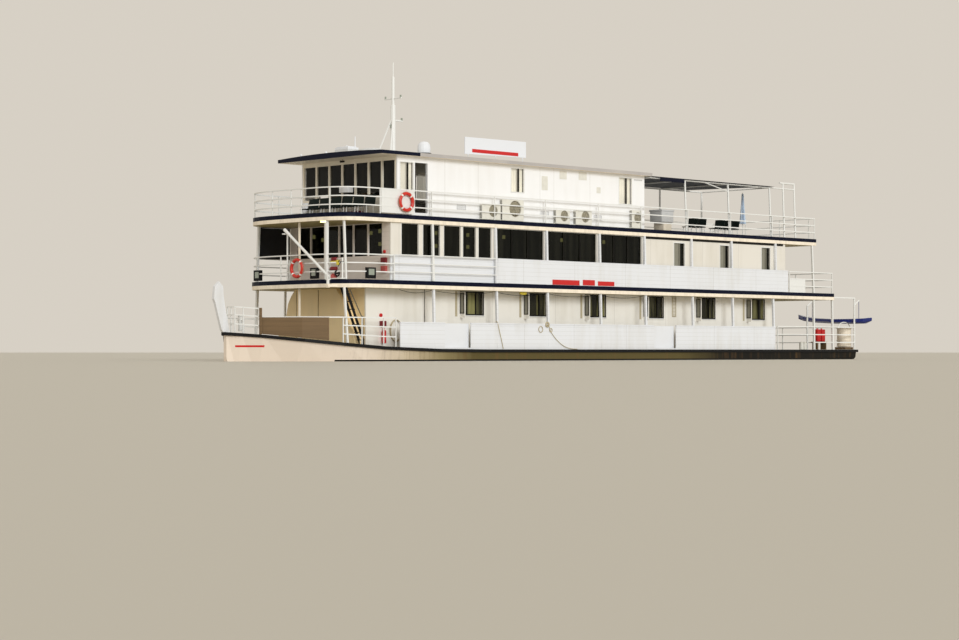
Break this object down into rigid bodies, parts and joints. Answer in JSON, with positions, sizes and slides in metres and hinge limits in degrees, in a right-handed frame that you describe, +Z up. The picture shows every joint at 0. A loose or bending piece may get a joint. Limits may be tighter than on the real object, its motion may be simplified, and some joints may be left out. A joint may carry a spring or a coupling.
{
  "type": "river passenger ship",
  "caption": "White river passenger ship with stacked open-sided decks, a forward wheelhouse, an after awning, a bow boom and a canoe slung across the stern.",
  "frame": {"origin": "bottom centre of the bounding box, under the flat of the keel amidships", "axes": "+X towards the bow, +Y to port, +Z up"},
  "size_m": [35.02, 7.08, 12.565],
  "materials": {
    "white_paint": "semi-gloss white marine paint",
    "cream_paint": "semi-gloss cream marine paint",
    "black_paint": "matt black paint, scuffed",
    "window_glass": "dark tinted glass",
    "red_plastic": "red rigid foam, gloss skin",
    "timber": "weathered brown boards",
    "canvas": "grey-blue tarpaulin",
    "bronze": "cast bronze",
    "blue_plastic": "blue moulded hull with white gunwales",
    "rope": "laid natural rope"
  },
  "bodies": {
    "ship": {"awning_cover": "canvas", "awning_frame": "white_paint", "bow_rail": "white_paint", "bow_screen": "timber", "cabin_aft_wall": "cream_paint", "canoe": "blue_plastic", "cooling_units": "cream_paint", "hull": "cream_paint", "life_ring_front": "red_plastic", "life_ring_side": "red_plastic", "main_bulwark_port": "white_paint", "main_bulwark_starboard": "white_paint", "main_house_aft": "cream_paint", "main_house_front": "cream_paint", "main_house_glass": "window_glass", "main_house_port": "white_paint", "main_house_starboard": "white_paint", "main_rail_aft": "white_paint", "main_stair": "black_paint", "mast": "white_paint", "mid_bulwark_port": "white_paint", "mid_bulwark_starboard": "white_paint", "mid_deck": "white_paint", "mid_deck_fore": "white_paint", "mid_rail_aft": "white_paint", "mid_rail_front": "white_paint", "mooring_line": "rope", "rub_strake": "black_paint", "saloon_front": "white_paint", "saloon_glass": "window_glass", "saloon_side_port": "white_paint", "saloon_side_starboard": "white_paint", "stem_post": "white_paint", "upper_deck": "white_paint", "upper_glass_port": "window_glass", "upper_glass_starboard": "window_glass", "upper_house_aft": "white_paint", "upper_house_port": "white_paint", "upper_house_starboard": "white_paint", "upper_rail_front": "white_paint", "upper_rail_port": "white_paint", "upper_rail_starboard": "white_paint", "upper_roof": "white_paint", "wheelhouse_front": "white_paint", "wheelhouse_glass": "window_glass"},
    "propeller_port": {"propeller_port": "bronze"},
    "propeller_starboard": {"propeller_starboard": "bronze"},
    "rudder_port": {"rudder_port": "black_paint"},
    "rudder_starboard": {"rudder_starboard": "black_paint"},
    "boom_head": {"boom_head": "white_paint"},
    "boom": {"boom_spar": "white_paint"},
    "wheelhouse_door_port": {"wheelhouse_door_port": "white_paint"},
    "wheelhouse_door_starboard": {"wheelhouse_door_starboard": "white_paint"},
    "gate_1_port": {"gate_1_port": "white_paint"},
    "gate_1_starboard": {"gate_1_starboard": "white_paint"},
    "gate_2_port": {"gate_2_port": "white_paint"},
    "gate_2_starboard": {"gate_2_starboard": "white_paint"},
    "main_aft_door": {"main_aft_door": "white_paint"},
    "cabin_aft_door": {"cabin_aft_door": "white_paint"},
    "upper_aft_door": {"upper_aft_door": "white_paint"}
  },
  "joints": [
    {"name": "propeller_port_spin", "type": "hinge", "parent": "ship", "child": "propeller_port", "pos_m": [-14.09, 1.26, 0.43], "axis": [1, 0, 0], "continuous": true},
    {"name": "propeller_starboard_spin", "type": "hinge", "parent": "ship", "child": "propeller_starboard", "pos_m": [-14.09, -1.84, 0.43], "axis": [1, 0, 0], "continuous": true},
    {"name": "rudder_port_turn", "type": "hinge", "parent": "ship", "child": "rudder_port", "pos_m": [-15.14, 1.26, 0.8], "axis": [0, 0, 1], "range_deg": [-35, 35]},
    {"name": "rudder_starboard_turn", "type": "hinge", "parent": "ship", "child": "rudder_starboard", "pos_m": [-15.14, -1.84, 0.8], "axis": [0, 0, 1], "range_deg": [-35, 35]},
    {"name": "boom_slew", "type": "hinge", "parent": "ship", "child": "boom_head", "pos_m": [14.15, 2.11, 3.81], "axis": [0, 0, 1], "range_deg": [0, 150]},
    {"name": "boom_luff", "type": "hinge", "parent": "boom_head", "child": "boom", "pos_m": [14.15, 2.11, 4.09], "axis": [-1, 0, 0], "range_deg": [0, 43]},
    {"name": "wheelhouse_door_port_slide", "type": "slide", "parent": "ship", "child": "wheelhouse_door_port", "axis": [1, 0, 0], "range_m": [0, 0.66]},
    {"name": "wheelhouse_door_starboard_slide", "type": "slide", "parent": "ship", "child": "wheelhouse_door_starboard", "axis": [1, 0, 0], "range_m": [0, 0.66]},
    {"name": "gate_1_port_slide", "type": "slide", "parent": "ship", "child": "gate_1_port", "axis": [-1, 0, 0], "range_m": [0, 1.4]},
    {"name": "gate_1_starboard_slide", "type": "slide", "parent": "ship", "child": "gate_1_starboard", "axis": [-1, 0, 0], "range_m": [0, 1.4]},
    {"name": "gate_2_port_slide", "type": "slide", "parent": "ship", "child": "gate_2_port", "axis": [-1, 0, 0], "range_m": [0, 1.4]},
    {"name": "gate_2_starboard_slide", "type": "slide", "parent": "ship", "child": "gate_2_starboard", "axis": [-1, 0, 0], "range_m": [0, 1.4]},
    {"name": "main_aft_door_swing", "type": "hinge", "parent": "ship", "child": "main_aft_door", "pos_m": [-11.74, 0.018, 2.5], "axis": [0, 0, 1], "range_deg": [0, 100]},
    {"name": "cabin_aft_door_swing", "type": "hinge", "parent": "ship", "child": "cabin_aft_door", "pos_m": [-11.86, 0.018, 5.05], "axis": [0, 0, 1], "range_deg": [0, 100]},
    {"name": "upper_aft_door_swing", "type": "hinge", "parent": "ship", "child": "upper_aft_door", "pos_m": [-2.64, 0.018, 7.5], "axis": [0, 0, 1], "range_deg": [0, 100]}
  ],
  "couplings": [
    {"joint": "rudder_starboard_turn", "follows": "rudder_port_turn", "ratio": 1}
  ]
}
